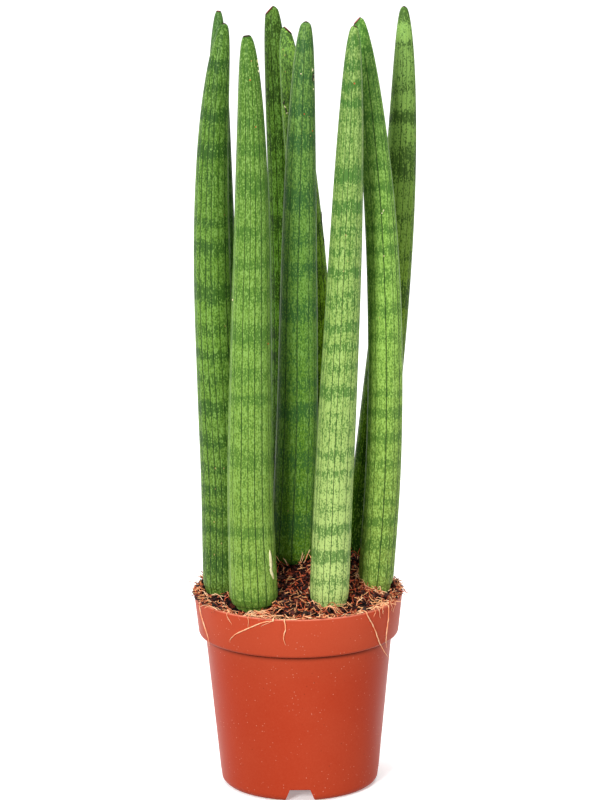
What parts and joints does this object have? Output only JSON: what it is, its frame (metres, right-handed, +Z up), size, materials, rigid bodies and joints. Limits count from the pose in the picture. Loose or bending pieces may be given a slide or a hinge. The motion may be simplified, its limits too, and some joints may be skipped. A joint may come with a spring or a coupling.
{
  "type": "potted snake plant",
  "caption": "Upright cylindrical snake plant leaves standing in bark potting mix in a round tapered nursery pot with a stepped rim.",
  "frame": {"origin": "centre of the pot's flat underside", "axes": "+Z up along the pot's axis, -Y towards the front of the plant, +X to its right"},
  "size_m": [0.1307, 0.1218, 0.4503],
  "materials": {
    "pot_plastic": "moulded terracotta-coloured plastic with a soft sheen",
    "bark_mix": "coarse matte bark and coir potting mix",
    "dark_leaf": "satin dark green living leaf with fine lengthwise lines",
    "mid_leaf": "satin mid green living leaf with soft cross bands",
    "pale_leaf": "satin pale green living leaf with darker cross bands",
    "dry_root": "dry matte tan root"
  },
  "bodies": {
    "root": {"pot": "pot_plastic", "potting_mix": "bark_mix", "leaf_far_left": "dark_leaf", "leaf_left": "mid_leaf", "leaf_front_left": "mid_leaf", "leaf_back": "dark_leaf", "leaf_back_centre": "dark_leaf", "leaf_centre": "mid_leaf", "leaf_front_right": "pale_leaf", "leaf_right": "pale_leaf", "leaf_far_right": "dark_leaf", "root_left": "dry_root", "root_front_left": "dry_root", "root_front": "dry_root", "root_front_right": "dry_root", "root_right": "dry_root"}
  },
  "joints": []
}
